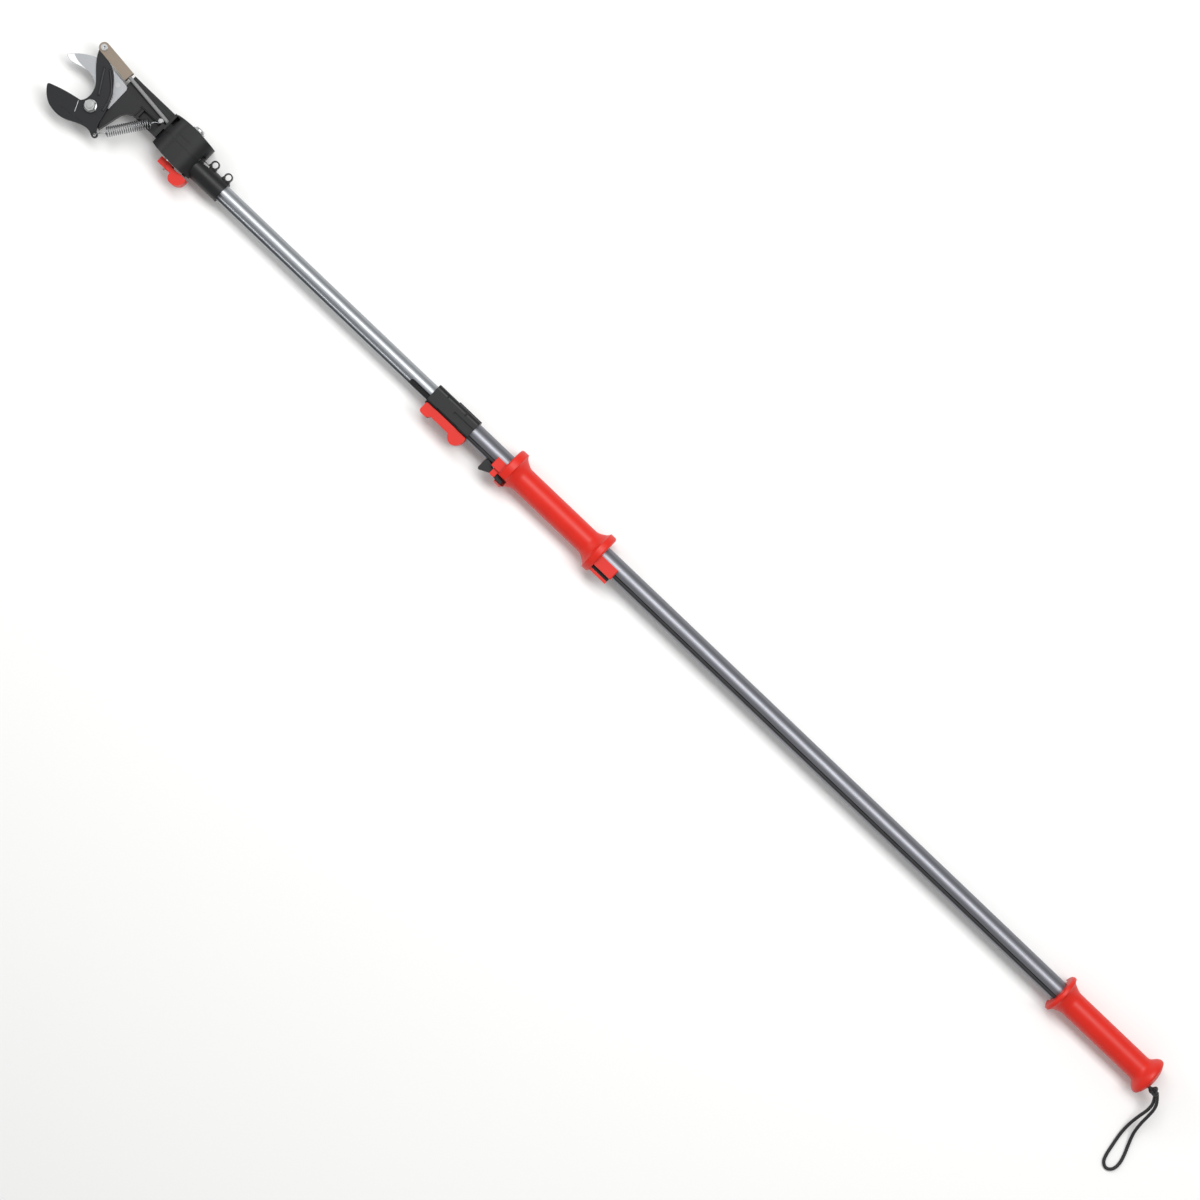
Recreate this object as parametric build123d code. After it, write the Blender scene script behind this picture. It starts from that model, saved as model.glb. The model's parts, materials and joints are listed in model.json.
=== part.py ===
from build123d import *
import os
from math import atan2, cos, degrees, hypot, pi, radians, sin, tan

# Telescoping pole pruner, lying on its side on a flat surface.
# +X runs along the pole towards the cutting head, +Y towards the hook and the levers, +Z up.
# The origin is on the surface, under the rear flange of the end grip. Millimetres.

# Pole
axis_height = 25.0          # pole axis above the surface it lies on
groove_angle = 41.0         # grooves of both tubes, turned from +Z towards +Y
outer_r = 13.0
outer_wall = 1.2
outer_start_x = 6.0
outer_end_x = 1150.0
groove_width = 6.6          # rope groove of the outer tube
groove_floor_r = 10.0
inner_r = 10.8
inner_wall = 1.2
inner_start_x = 62.0
inner_end_x = 1570.0
inner_groove_width = 10.0   # clears the outer tube's groove, with room for the rope under it
inner_groove_floor_r = 3.4

# Ropes
rope_r = 2.4                # black pull rope
head_rope_r = 2.3           # grey rope at the head
pull_rope_r_pos = 12.5      # rope centre line, from the pole axis
return_rope_r_pos = 5.95

# Clearances
running_gap = 0.06          # shaft in its hole
slide_gap = 0.35            # curved faces that slide past each other
seat_gap = 0.05             # pieces that are fixed together
face_gap = 0.15             # flat faces that turn past each other

# End grip
grip_body_r = 16.2
end_flange_r = 25.6
end_front_x = 146.3
end_dome_x = -10.2
rim_length = 9.0
rim_round = 3.2
grip_screw_x = 70.0

# Mid grip
mid_flange_r = 26.4
mid_front_x = 1060.2
mid_rear_x = 903.7
lock_pin_x = 1065.7
lock_pin_y = 18.0
lock_pin_r = 2.0
lock_arm_low = -1.6         # lever's underside and top, from the pole axis
lock_arm_high = 9.6

# Telescoping clamp
collar_x0 = 1118.0
collar_x1 = 1184.3
collar_round = 6.0
clamp_pin_x = 1176.8
clamp_pin_y = outer_r + 4.4
clamp_pin_r = 2.5
clamp_lever_half = 11.4     # half the lever's width, along Z
clamp_lug_half = 9.2
clamp_end_y = 6.2           # from the pin to the closed lever's edge on the pole side
clamp_relief_y = outer_r - 2.8    # collar's flats beside the lever
guide_tip_x = 1215.0
guide_width = 6.0

# Knuckle
tilt_x = 1604.7
knuckle_r = 24.6
knuckle_back = 5.2          # from the tilt bolt to the centres of the knuckle's round ends
knuckle_front = 7.3
knuckle_split_y = -7.0
knuckle_low_y = 16.6
knuckle_top_y = -33.4
sleeve_r = 13.6
sleeve_x0 = 1533.6
sleeve_screw_xs = (1544.0, 1560.0)
tilt_bolt_r = 4.0
tilt_pin_x = 1599.6
tilt_pin_y = 22.0
tilt_pin_r = 1.5
tilt_lever_half = 10.4
yoke_half = 8.0
yoke_bolt_r = 3.0
yoke_y0 = 17.6
yoke_y1 = 26.3
eyelet_y = -18.4
eyelet_xs = (1562.5, 1540.9)
eyelet_hole_r = 3.8
eyelet_outer_r = 5.4
eyelet_thick = 5.0

# Cutting head
pivot_x = 1719.0
pivot_y = 33.4
pivot_r = 4.0
blade_thick = 3.0
hook_thick = 4.6
plate_low_z = 17.0
rivet_x = 1755.0
rivet_y = -28.8
rivet_r = 2.5
clevis_length = 46.0
clevis_half = 6.6
clevis_sheet = 1.7
tail_x = 1692.0
tail_y = 55.2
anchor_x = 1645.5
anchor_y = -11.6
spring_coil_r = 6.5
spring_wire_r = 0.8
spring_coil_length = 52.0

blade_low_z = axis_height - blade_thick / 2
blade_top_z = axis_height + blade_thick / 2
plate_top_z = blade_low_z - 0.05
hook_low_z = blade_top_z + face_gap
hook_top_z = hook_low_z + hook_thick
arm_z = (hook_low_z + hook_top_z) / 2

turn = radians(groove_angle)
pole_axis = Axis((0, 0, axis_height), (1, 0, 0))
tilt_axis = Axis((tilt_x, 0, axis_height), (0, 1, 0))


def across_pole(x):
    """Plane across the pole: local x is +Y, local y is +Z."""
    return Plane(origin=(x, 0, axis_height), x_dir=(0, 1, 0), z_dir=(1, 0, 0))


def across_groove(x):
    """Plane across the pole, turned so that local y points out through the grooves."""
    return Plane(origin=(x, 0, axis_height), x_dir=(0, cos(turn), -sin(turn)), z_dir=(1, 0, 0))


def groove_point(x, radius, side=0.0):
    """Point at a distance from the pole axis, along the grooves' direction."""
    return (
        x,
        radius * sin(turn) + side * cos(turn),
        axis_height + radius * cos(turn) - side * sin(turn),
    )


def box(x0, x1, y0, y1, z0, z1):
    return Pos((x0 + x1) / 2, (y0 + y1) / 2, (z0 + z1) / 2) * Box(x1 - x0, y1 - y0, z1 - z0)


def rounded_box(x0, x1, y0, y1, z0, z1, radius, axis=Axis.X):
    """Box whose edges along one axis are rounded."""
    body = box(x0, x1, y0, y1, z0, z1)
    return fillet(body.edges().filter_by(axis), radius)


def plate(face, z0, z1):
    """A flat outline in X and Y, thickened between two heights."""
    return extrude(Plane.XY.offset(z0) * face, z1 - z0)


def rod_z(x, y, radius, z0, z1):
    return Pos(x, y, (z0 + z1) / 2) * Cylinder(radius, z1 - z0)


def rod_y(x, z, radius, y0, y1):
    return Pos(x, (y0 + y1) / 2, z) * Rot(90, 0, 0) * Cylinder(radius, y1 - y0)


def hexagon_z(x, y, across_flats, z0, z1):
    face = RegularPolygon(across_flats / 2, 6, major_radius=False)
    return extrude(Plane.XY.offset(z0) * Pos(x, y) * face, z1 - z0)


def ridge(width, floor_r, top_r, round_r):
    """Slot face in a plane across the groove, open outwards, with a rounded floor."""
    face = Pos(0, (floor_r + top_r) / 2) * Rectangle(width, top_r - floor_r)
    return fillet(face.vertices().group_by(Axis.Y)[0], round_r)


def groove_cut(x0, x1, width, floor_r, top_r):
    face = Pos(0, (floor_r + top_r) / 2) * Rectangle(width, top_r - floor_r)
    return extrude(across_groove(x0) * face, x1 - x0)


def straight_rope(x0, x1, radius, r_pos):
    start = groove_point(x0, r_pos)
    return extrude(Plane(origin=start, z_dir=(1, 0, 0)) * Circle(radius), x1 - x0)


def grooved_tube(x0, x1, radius, wall, width, floor_r, floor_round):
    outside = Circle(radius) - ridge(width, floor_r, radius + 5, floor_round)
    inside = Circle(radius - wall) - ridge(
        width + 2 * wall, floor_r - wall, radius + 5, floor_round + wall
    )
    return extrude(across_groove(x0) * (outside - inside), x1 - x0)


def outer_tube():
    tube = grooved_tube(
        outer_start_x, outer_end_x, outer_r, outer_wall, groove_width, groove_floor_r, 2.4
    )
    return tube - grip_screw_shape(seat_gap)


def inner_tube():
    tube = grooved_tube(
        inner_start_x, inner_end_x, inner_r, inner_wall, inner_groove_width,
        inner_groove_floor_r, 3.4,
    )
    return tube - sleeve_screw_shapes(seat_gap)


def turned_about_pole(edges):
    """Solid of revolution about the pole, from a closed outline in X and radius."""
    return revolve(make_face(edges), axis=pole_axis)


def at_radius(x, radius):
    return (x, 0, axis_height + radius)


def flange_edges(rim_outer_x, rim_inner_x, body_x, rim_r, body_r):
    """Flange of a grip: rounded rim, then a flare that runs into the body."""
    step = 1 if rim_outer_x > rim_inner_x else -1
    return [
        ThreePointArc(
            at_radius(rim_outer_x, rim_r - rim_round),
            at_radius(rim_outer_x - step * 0.29 * rim_round, rim_r - 0.29 * rim_round),
            at_radius(rim_outer_x - step * rim_round, rim_r),
        ),
        Line(at_radius(rim_outer_x - step * rim_round, rim_r), at_radius(rim_inner_x, rim_r)),
        Spline(
            at_radius(rim_inner_x, rim_r),
            at_radius((rim_inner_x + body_x) / 2, body_r + 0.25 * (rim_r - body_r)),
            at_radius(body_x, body_r),
            tangents=[(-step * 0.35, 0, -1), (-step, 0, 0)],
        ),
    ]


def end_grip():
    front = flange_edges(
        end_front_x, end_front_x - rim_length * 0.55, end_front_x - 22.0, end_flange_r, grip_body_r
    )
    rear_body_x = 14.0
    rear = [
        Line(at_radius(end_front_x - 22.0, grip_body_r), at_radius(rear_body_x, grip_body_r)),
        Spline(
            at_radius(rear_body_x, grip_body_r),
            at_radius(rear_body_x / 2, grip_body_r + 0.42 * (end_flange_r - grip_body_r)),
            at_radius(1.5, end_flange_r - 0.6),
            at_radius(-1.2, end_flange_r),
            at_radius(-4.0, end_flange_r - 1.4),
            tangents=[(-1, 0, 0), (-1, 0, -1.6)],
        ),
        ThreePointArc(
            at_radius(-4.0, end_flange_r - 1.4), at_radius(-8.8, 14.0), at_radius(end_dome_x, 0)
        ),
    ]
    close = [
        Line(at_radius(end_dome_x, 0), at_radius(end_front_x, 0)),
        Line(at_radius(end_front_x, 0), at_radius(end_front_x, end_flange_r - rim_round)),
    ]
    body = turned_about_pole(front + rear + close)
    bore = extrude(
        across_pole(outer_start_x - 0.5) * Circle(outer_r + seat_gap),
        end_front_x + 1 - outer_start_x,
    )
    relief = box(139.5, end_front_x + 1, -16, 16, -5, axis_height - 4)
    channel = groove_cut(
        outer_start_x - 0.5, end_front_x + 1, 2 * rope_r + 0.6, 9.0, pull_rope_r_pos + rope_r + 0.3
    )
    exit_hole = straight_rope(end_dome_x - 3, outer_start_x, rope_r + 0.4, pull_rope_r_pos)
    floor = box(-60, 200, -60, 60, -20, 0)
    return body - bore - relief - channel - exit_hole - floor - grip_screw_shape(seat_gap)


def end_plug():
    """Plug that closes the outer tube inside the end grip."""
    plug = extrude(across_pole(outer_start_x + 1) * Circle(outer_r - outer_wall - seat_gap), 9)
    lobe_w = groove_width + 2 * outer_wall + 0.4
    return plug - groove_cut(outer_start_x, outer_start_x + 12, lobe_w, groove_floor_r - 1.6, 20)


def grip_screw_shape(gap):
    """Screw that pins the end grip to the outer tube, from below; the gap makes its hole."""
    seat_z = axis_height - grip_body_r
    head = rod_z(grip_screw_x, 0, 2.6 + gap, seat_z - gap - 0.4, seat_z + 1.2 + gap)
    return head + rod_z(grip_screw_x, 0, 1.4 + gap, seat_z + 1.0, axis_height - outer_r + 1.1)


def grip_screw():
    return grip_screw_shape(0)


def mid_grip():
    rim_in_front = mid_front_x - 10.5
    rim_in_rear = mid_rear_x + 9.5
    body_front = mid_front_x - 26.0
    body_rear = mid_rear_x + 25.0
    front = flange_edges(mid_front_x, rim_in_front, body_front, mid_flange_r, grip_body_r)
    rear = flange_edges(mid_rear_x, rim_in_rear, body_rear, mid_flange_r, grip_body_r)
    rest = [
        Line(at_radius(body_front, grip_body_r), at_radius(body_rear, grip_body_r)),
        Line(at_radius(mid_rear_x, mid_flange_r - rim_round), at_radius(mid_rear_x, 0)),
        Line(at_radius(mid_rear_x, 0), at_radius(mid_front_x, 0)),
        Line(at_radius(mid_front_x, 0), at_radius(mid_front_x, mid_flange_r - rim_round)),
    ]
    body = turned_about_pole(front + rear + rest)
    up = axis_height
    body += rounded_box(mid_front_x - 3, 1074.4, 0.2, 13.2, up + 12, up + 18, 1.2, Axis.Y)
    body += box(1062.0, 1069.5, 10.0, 22.2, up + lock_arm_high + 0.3, up + 14)
    body += box(mid_front_x - 1, 1069.5, 12.5, 22.2, up - 6, up + lock_arm_low - 0.3)
    body += box(mid_front_x - 1, 1063.5, 9.0, 15.5, up + lock_arm_high + 0.3, up + 14)
    body += rounded_box(876.6, mid_rear_x + 3, 0.2, outer_r + 1.6, up + 12, up + 18.5, 1.5, Axis.Y)
    body += box(878.0, mid_rear_x + 3, outer_r + 6.0, outer_r + 9.6, up + 1, up + 10)
    notch = box(1047.0, mid_front_x + 1, 15.6, 23.6, up + lock_arm_low - 0.5, up + 30)
    notch += box(1047.0, mid_front_x + 1, 13.9, 16.0, up + lock_arm_low - 0.5, up + lock_arm_high + 0.4)
    bore = extrude(across_pole(860) * Circle(outer_r + slide_gap), 230)
    channel = groove_cut(860, 1090, 2 * rope_r + 0.2, 9.0, pull_rope_r_pos + rope_r + 0.1)
    lock_pocket = box(1058.0, 1090, 7.0, 13.5, up + lock_arm_low, up + lock_arm_high)
    pin = rod_z(lock_pin_x, lock_pin_y, lock_pin_r + seat_gap, up - 6.1, up + 12.6)
    floor = box(800, 1200, -60, 60, -20, 0)
    return body - notch - bore - channel - lock_pocket - pin - floor


def rope_keeper():
    """Black wear strip in the slot of the mid grip's lower fork."""
    up = axis_height
    strip = box(878.0, mid_rear_x, outer_r + 1.7, outer_r + 5.9, up + 4, up + 10)
    return fillet(strip.edges().filter_by(Axis.X), 0.8)


def lock_pin():
    up = axis_height
    return rod_z(lock_pin_x, lock_pin_y, lock_pin_r, up - 6, up + 12.5)


def rope_lock_lever():
    """Rocker that grips the pull rope, with a finger wedge on one side of its pin."""
    x, y = lock_pin_x, lock_pin_y
    edges = Polyline(
        (x + 18.8, y - 4.6), (x + 15.0, y - 7.2), (x + 4.0, y - 3.6), (x - 3.0, y - 2.0),
        (x - 14.6, y - 0.6), (x - 14.6, y + 4.8), (x - 3.0, y + 4.4), (x + 4.4, y + 3.6),
        (x + 17.0, y + 9.8), (x + 18.8, y + 7.8), close=True,
    )
    body = plate(make_face(edges), axis_height + lock_arm_low, axis_height + lock_arm_high)
    bore = rod_z(x, y, lock_pin_r + running_gap, 0, 60)
    pole = extrude(across_pole(x - 30) * Circle(outer_r + slide_gap), 60)
    return fillet(body.edges().filter_by(Axis.Z), 0.5) - bore - pole


def pull_rope():
    """Black rope in the groove, from the clamp through both grips."""
    return straight_rope(end_dome_x - 4.0, 1168.0, rope_r, pull_rope_r_pos)


def return_rope():
    """Hidden run between the two tubes, up to the clamp."""
    return straight_rope(44.0, 1164.0, rope_r, return_rope_r_pos)


def clamp_collar():
    up = axis_height
    low, wide, top = outer_r + 1.6, outer_r + 0.9, outer_r + 3.2
    body = box(collar_x0, collar_x1, -low, wide, up - low, up + top)
    body = fillet(body.edges().filter_by(Axis.X), collar_round)
    body += rounded_box(collar_x0, 1153.0, -low - 1.2, -9.0, up - 8, up + 9.5, 2.0)
    body += box(clamp_pin_x - 5.6, clamp_pin_x + 4.4, 8.0, clamp_pin_y, up - clamp_lug_half,
                up + clamp_lug_half)
    body += rod_z(clamp_pin_x, clamp_pin_y, 4.4, up - clamp_lug_half, up + clamp_lug_half)
    body -= rod_z(clamp_pin_x, clamp_pin_y, clamp_pin_r + seat_gap, up - 15, up + 15)
    body -= extrude(across_pole(collar_x0 - 1) * Circle(outer_r + seat_gap), collar_x1 - collar_x0 + 2)
    body -= groove_cut(collar_x0 - 1, 1171.0, 2 * rope_r + 0.7, 9.0, pull_rope_r_pos + rope_r + 0.35)
    body -= groove_cut(1171.0, collar_x1 + 1, guide_width + 0.2, 9.0, outer_r + 1.2)
    body -= groove_cut(1134.3, 1167.7, 9.0, 9.0, outer_r + 17.0)
    body -= box(1134.3, 1167.7, 9.0, outer_r + 7.0, up - 9.0, up + 9.0)
    for z0, z1 in ((9.3, 20.0), (-20.0, -9.3)):
        body -= box(collar_x0 - 1, collar_x1 + 1, clamp_relief_y, outer_r + 7.0, up + z0, up + z1)
    body -= box(collar_x0 - 1, 1149.7, -2.8, 0.9, up + top - 2.0, up + top + 4)
    body -= box(1136.0, 1138.5, -13.6, -7.0, up + top - 3.2, up + top + 4)
    body -= box(1166.0, 1168.0, -12.5, -8.5, up + top - 3.2, up + top + 4)
    return body


def clamp_bush():
    """Split bush between the collar and the inner tube, above the outer tube's end."""
    ring = Circle(outer_r) - Circle(inner_r + 0.08)
    bush = extrude(across_pole(outer_end_x + 0.2) * ring, collar_x1 - outer_end_x - 0.4)
    return bush - groove_cut(outer_end_x, collar_x1 + 1, guide_width + 0.8, 5.0, 20)


def rope_guide():
    """Tongue that runs in the inner tube's groove and keeps the rope in line."""
    body = groove_cut(1171.5, guide_tip_x, guide_width, 8.7, 10.7)
    body += groove_cut(1171.5, collar_x1 - 0.2, guide_width, 8.7, 13.2)
    return fillet(body.edges().filter_by(GeomType.LINE).group_by(Axis.X)[-1].filter_by(
        lambda e: e.length < 2.1
    ), 2.4)


def clamp_pad():
    up = axis_height
    block = box(1135.0, 1167.0, outer_r + 0.2, outer_r + 0.9, up - 8.6, up + 8.6)
    block += box(1140.0, 1162.0, outer_r - 0.4, outer_r + 0.4, up - 2.5, up + 2.5)
    return block - extrude(across_pole(1100) * Circle(outer_r + seat_gap), 90)


def clamp_pin():
    return rod_z(clamp_pin_x, clamp_pin_y, clamp_pin_r, axis_height - 10.6, axis_height + 10.6)


def clamp_lever():
    """Channel-shaped cam lever: two cheeks hold the pin, and the web is the finger paddle."""
    up = axis_height
    x, y = clamp_pin_x, clamp_pin_y
    low = y - clamp_end_y
    side = [
        Line((x + 3.0, low), (1118.6, low)),
        ThreePointArc((1118.6, low), (1120.4, y + 7.0), (1128.0, y + 12.0)),
        ThreePointArc((1128.0, y + 12.0), (1133.6, y + 9.8), (1138.5, y + 4.4)),
        Line((1138.5, y + 4.4), (1167.5, y + 4.2)),
        ThreePointArc((1167.5, y + 4.2), (1169.6, y + 7.2), (1174.0, y + 8.8)),
        Line((1174.0, y + 8.8), (1178.6, y + 8.6)),
        ThreePointArc((1178.6, y + 8.6), (1181.4, y + 7.5), (x + 5.8, y + 5.0)),
        Line((x + 5.8, y + 5.0), (x + 5.8, y - 3.4)),
        ThreePointArc((x + 5.8, y - 3.4), (x + 5.0, y - 5.2), (x + 3.0, low)),
    ]
    face = make_face(Wire(side))
    body = plate(face, up - clamp_lever_half, up + clamp_lever_half)
    body -= box(1100, 1190, y - 12.4, y - 3.1, up - 9.5, up + 9.5)
    body -= box(1169.0, 1190, y - 12.4, y + 12.6, up - 9.5, up + 9.5)
    body -= rod_z(x, y, clamp_pin_r + running_gap, up - 10.7, up + 10.7)
    cover = box(x - 5, x + 1, y + 5.2, y + 8.6, up - 9.6, up + 9.6)
    return body + (cover & plate(face, up - 9.6, up + 9.6))


def return_block():
    """Guide at the lower end of the inner tube, with the rope's turning pulley between its cheeks."""
    block = extrude(across_groove(28.0) * Circle(outer_r - outer_wall - 0.08), 33.8)
    spigot = extrude(across_groove(61.8) * Circle(inner_r - inner_wall - seat_gap), 14.0)
    body = block + spigot
    body -= groove_cut(27.0, 80.0, inner_groove_width + 2 * inner_wall + 0.2, 2.0, 20.0)
    body -= groove_cut(27.0, 61.9, 6.2, -20.0, 20.0)
    rope_way = extrude(across_groove(60.0) * Pos(0, -5.7) * Circle(head_rope_r + 0.3), 20)
    body -= rope_way
    pin_bore = Plane(origin=groove_point(44.0, 0.125, -12), z_dir=(0, cos(turn), -sin(turn)))
    return body - extrude(pin_bore * Circle(1.5 + seat_gap), 24)


def return_pin():
    start = Plane(origin=groove_point(44.0, 0.125, -9.0), z_dir=(0, cos(turn), -sin(turn)))
    return extrude(start * Circle(1.5), 18)


def grooved_wheel(plane, rim_r, groove_r, width, bore_r):
    """Small rope wheel with a round groove, on the plane's local z axis."""
    wheel = Cylinder(rim_r, width) - Cylinder(bore_r, width + 1)
    lip = rim_r - groove_r
    ring = Torus(rim_r + (head_rope_r - lip) * 0.4, head_rope_r + 0.1)
    return plane.location * (wheel - ring)


def return_pulley():
    centre = groove_point(44.0, 0.125)
    plane = Plane(origin=centre, z_dir=(0, cos(turn), -sin(turn)))
    return grooved_wheel(plane, 5.0, 3.4, 5.6, 1.5 + running_gap)


def tilt_sheave():
    plane = Plane(origin=(tilt_x, -13.4, axis_height), z_dir=(0, 1, 0))
    return grooved_wheel(plane, 6.0, 5.0, 5.6, tilt_bolt_r + running_gap)


def rope_along(points, corner_radii, radius):
    path = FilletPolyline(*points, radius=corner_radii)
    start = Plane(origin=path @ 0, z_dir=path % 0)
    tube = sweep(start * Circle(radius), path=path)
    length = path.length
    print("rope length", round(length, 1), "volume over section times length",
          round(tube.volume / (pi * radius ** 2 * length), 4))
    return tube


def tube_rope():
    """Grey rope inside the inner tube, from the knuckle down to the turning pulley."""
    low = groove_point(0, -5.7)
    points = [
        (1574.0, -5.9, 27.4),
        (1548.0, low[1], low[2]),
        (46.0, low[1], low[2]),
    ]
    return rope_along(points, [20.0], head_rope_r)


def neck_run(radius):
    points = [(1625.4, -14.7, 29.6), (tilt_x, -13.4, 34.2), (1579.5, -9.6, 31.6)]
    return rope_along(points, [16.0], radius)


def neck_rope():
    """Grey rope inside the frame's ear, over the sheave on the tilt bolt."""
    return neck_run(head_rope_r)


def knuckle_block(y0, y1):
    """Length of the knuckle's outline: round ends in X and Z, domed faces across the bolt."""
    up = axis_height
    back = tilt_x - knuckle_back
    front = tilt_x + knuckle_front
    body = rod_y(back, up, knuckle_r, y0, y1) + rod_y(front, up, knuckle_r, y0, y1)
    body += box(back, front, y0, y1, up - knuckle_r, up + knuckle_r)
    rear = back - knuckle_r - 1
    end = front + knuckle_r + 1
    domes = make_face(Wire([
        ThreePointArc((rear, knuckle_top_y + 3.4), (tilt_x, knuckle_top_y), (end, knuckle_top_y + 2.6)),
        Line((end, knuckle_top_y + 2.6), (end, knuckle_low_y - 4.0)),
        ThreePointArc((end, knuckle_low_y - 4.0), (tilt_x, knuckle_low_y), (rear, knuckle_low_y - 1.6)),
        Line((rear, knuckle_low_y - 1.6), (rear, knuckle_top_y + 3.4)),
    ]))
    return body & plate(domes, -10, 60)


def knuckle_sleeve():
    """Sleeve on the inner tube's end, with the lower knuckle disc and two cord eyelets."""
    up = axis_height
    barrel = extrude(across_pole(sleeve_x0) * Circle(sleeve_r), tilt_x - sleeve_x0)
    body = barrel + knuckle_block(knuckle_split_y, 40)
    body += box(1580.0, 1584.0, 10.0, 17.4, up - 4.0, up + 4.0)
    for x in eyelet_xs:
        ring = Pos(x, eyelet_y) * Circle(eyelet_outer_r)
        web = make_face(Polyline(
            (x - 4.4, eyelet_y), (x + 4.4, eyelet_y), (x + 7.0, -11.0), (x - 7.0, -11.0),
            close=True,
        ))
        body += plate(ring + web, up - eyelet_thick / 2, up + eyelet_thick / 2)
    for x in eyelet_xs:
        body -= rod_z(x, eyelet_y, eyelet_hole_r, up - 6, up + 6)
    body -= rod_y(tilt_x, up, knuckle_back + knuckle_r + 0.6, -40, knuckle_split_y)
    body -= extrude(across_pole(sleeve_x0 - 1) * Circle(inner_r + seat_gap), inner_end_x - sleeve_x0 + 1.2)
    body -= box(1565.0, 1584.0, -12.5, -2.0, up - 10, up + 9)
    body -= rod_y(tilt_x, up, 8.4, knuckle_low_y, 30)
    body -= rod_y(tilt_x, up, tilt_bolt_r + seat_gap, -20, 20)
    return body - sleeve_screw_shapes(seat_gap)


def sleeve_screw_shapes(gap):
    """Two screws through the back of the sleeve into the inner tube; the gap makes their holes."""
    seat_z = axis_height - sleeve_r
    screws = []
    for x in sleeve_screw_xs:
        head = rod_z(x, 0, 2.2 + gap, seat_z - 0.4 - gap, seat_z + 1.5 + gap)
        screws.append(head + rod_z(x, 0, 1.3 + gap, seat_z + 1.0, axis_height - inner_r + 1.1))
    return screws[0] + screws[1]


def sleeve_screws():
    return sleeve_screw_shapes(0)


def tilt_bolt():
    """Dome-headed bolt through both knuckle discs; its thin end carries the yoke block."""
    up = axis_height
    shank = rod_y(tilt_x, up, tilt_bolt_r, knuckle_top_y - 1.6, knuckle_low_y + 0.9)
    shank += rod_y(tilt_x, up, yoke_bolt_r, knuckle_low_y, yoke_y1 + 0.8)
    shank += rod_y(tilt_x, up, 1.6, yoke_y1, yoke_y1 + 3.0)
    dome_base = knuckle_top_y - 1.5
    dome = rod_y(tilt_x, up, 6.6, dome_base - 3.0, dome_base)
    dome = fillet(dome.edges().sort_by(Axis.Y)[0], 2.4)
    return shank + dome


def tilt_washer():
    up = axis_height
    ring = rod_y(tilt_x, up, 8.6, knuckle_top_y - 1.4, knuckle_top_y - 0.2)
    return ring - rod_y(tilt_x, up, tilt_bolt_r + seat_gap, -50, 0)


def thrust_washer():
    up = axis_height
    ring = rod_y(tilt_x, up, 8.0, knuckle_low_y, knuckle_low_y + 0.8)
    return ring - rod_y(tilt_x, up, tilt_bolt_r + 3 * seat_gap, 0, 30)


def tilt_yoke():
    """Block on the tilt bolt's end, between the arms of the cam lever."""
    up = axis_height
    body = rounded_box(1597.0, 1615.5, yoke_y0, yoke_y1, up - yoke_half, up + yoke_half, 1.0, Axis.Z)
    body -= rod_y(tilt_x, up, yoke_bolt_r + seat_gap, 0, 40)
    return body - rod_z(tilt_pin_x, tilt_pin_y, tilt_pin_r + seat_gap, up - 10, up + 10)


def tilt_pin():
    return rod_z(tilt_pin_x, tilt_pin_y, tilt_pin_r, axis_height - 9.4, axis_height + 9.4)


def tilt_lever():
    """Cam lever on the tilt bolt: two arms beside the yoke, a neck and a D-shaped paddle."""
    up = axis_height
    x, y = tilt_pin_x, tilt_pin_y
    arms = Pos(x, y) * Circle(3.8)
    neck = Pos(x - 4.8, y + 0.6) * Rectangle(9.6, 6.4)
    paddle = make_face(Wire([
        Line((x - 5.4, 20.2), (x - 16.3, 18.7)),
        Line((x - 16.3, 18.7), (x - 24.9, 19.2)),
        ThreePointArc((x - 24.9, 19.2), (x - 22.6, 30.6), (x - 15.4, 34.3)),
        ThreePointArc((x - 15.4, 34.3), (x - 9.0, 33.4), (x - 5.4, 25.8)),
        Line((x - 5.4, 25.8), (x - 5.4, 20.2)),
    ]))
    body = plate(arms + neck + paddle, up - tilt_lever_half, up + tilt_lever_half)
    room = rod_z(x, y, 5.4, up - yoke_half - face_gap, up + yoke_half + face_gap)
    body -= room
    return body - rod_z(x, y, tilt_pin_r + running_gap, up - 9.5, up + 9.5)


def hook_lever():
    """Black lever in one plate: hook, arm to the clevis and tail to the spring."""
    tip = (1776.0, 48.4)
    heel = (1733.0, 36.6)
    arm_left = (1757.0, -20.0)
    arm_right = (1744.0, -21.0)
    tail_in = (1692.6, 51.0)
    tail_out = (1694.6, 58.6)
    edges = [
        ThreePointArc(tip, (1755.0, 41.4), heel),
        Spline(heel, (1728.8, 29.0), (1728.8, 20.0), (1732.4, 10.8), (1741.0, 1.0),
               (1750.0, -9.0), arm_left),
        Line(arm_left, (1760.0, -27.0)),
        Line((1760.0, -27.0), (1750.5, -31.0)),
        Line((1750.5, -31.0), arm_right),
        Spline(arm_right, (1735.5, -19.0), (1726.5, -14.2), (1717.5, -5.4), (1710.0, 5.4),
               (1704.0, 17.6), (1700.3, 30.0), (1697.4, 42.4), tail_in),
        Line(tail_in, tail_out),
        Spline(tail_out, (1701.0, 56.0), (1710.0, 56.8), (1722.0, 61.8), (1733.0, 66.6),
               (1746.0, 68.0), (1758.0, 65.4), (1768.0, 58.6), tip),
    ]
    face = make_face(Wire(edges))
    face = fillet(face.vertices().sort_by_distance(tip)[0], 2.4)
    body = plate(face, hook_low_z, hook_top_z)
    body += rod_z(rivet_x, rivet_y, 6.2, hook_low_z, hook_top_z)
    body += rod_z(tail_x, tail_y, 4.0, hook_low_z, hook_top_z)
    body -= rod_z(rivet_x, rivet_y, rivet_r + running_gap, 0, 60)
    body -= rod_z(tail_x, tail_y, 2.0, 0, 60)
    return body - rod_z(pivot_x, pivot_y, pivot_r + running_gap, 0, 60)


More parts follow.
